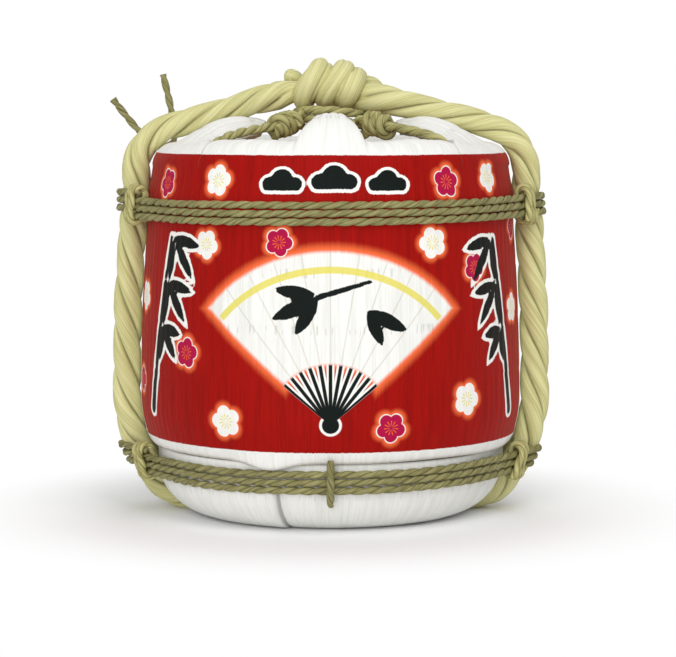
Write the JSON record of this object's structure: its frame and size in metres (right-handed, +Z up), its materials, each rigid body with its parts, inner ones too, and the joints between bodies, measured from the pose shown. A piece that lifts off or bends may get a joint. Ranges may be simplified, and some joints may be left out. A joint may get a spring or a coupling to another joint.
{
  "type": "straw-wrapped sake cask",
  "caption": "Small coopered cedar cask wrapped in a printed straw mat, lashed with thin cord and tied with a thick carrying rope; its bung pulls out of the lid.",
  "frame": {"origin": "middle of the base on the floor", "axes": "+Z up along the cask, -Y to the printed front, X across the two runs of the carrying rope"},
  "size_m": [0.1173, 0.1005, 0.1186],
  "materials": {
    "cedar": "planed, bare",
    "bamboo": "split, bare",
    "printed_straw_mat": "matt print on straw",
    "plain_straw_mat": "matt straw",
    "straw_rope": "satin fibre",
    "straw_cord": "satin fibre"
  },
  "bodies": {
    "cask": {"body_mat": "printed_straw_mat", "bottom_board_left": "cedar", "bottom_board_middle": "cedar", "bottom_board_right": "cedar", "bottom_dowels": "bamboo", "bottom_mat": "plain_straw_mat", "carrying_rope": "straw_rope", "hem_loop": "straw_cord", "hoop_foot": "bamboo", "hoop_lower_waist": "bamboo", "hoop_mouth": "bamboo", "hoop_upper_waist": "bamboo", "lacing_hub": "straw_cord", "lacing_spokes": "straw_cord", "lacing_wraps": "straw_cord", "lid_board_left": "cedar", "lid_board_middle": "cedar", "lid_board_right": "cedar", "lid_dowels": "bamboo", "lower_binders": "straw_cord", "lower_ring": "straw_cord", "stave_01": "cedar", "stave_02": "cedar", "stave_03": "cedar", "stave_04": "cedar", "stave_05": "cedar", "stave_06": "cedar", "stave_07": "cedar", "stave_08": "cedar", "stave_09": "cedar", "stave_10": "cedar", "stave_11": "cedar", "stave_12": "cedar", "stave_13": "cedar", "stave_14": "cedar", "stave_15": "cedar", "stave_16": "cedar", "tie_tails": "straw_cord", "upper_binders": "straw_cord", "upper_ring": "straw_cord"},
    "bung": {"bung": "cedar"}
  },
  "joints": [
    {"name": "bung_pull", "type": "slide", "parent": "cask", "child": "bung", "axis": [0, 0, 1], "range_m": [0, 0.045]}
  ]
}
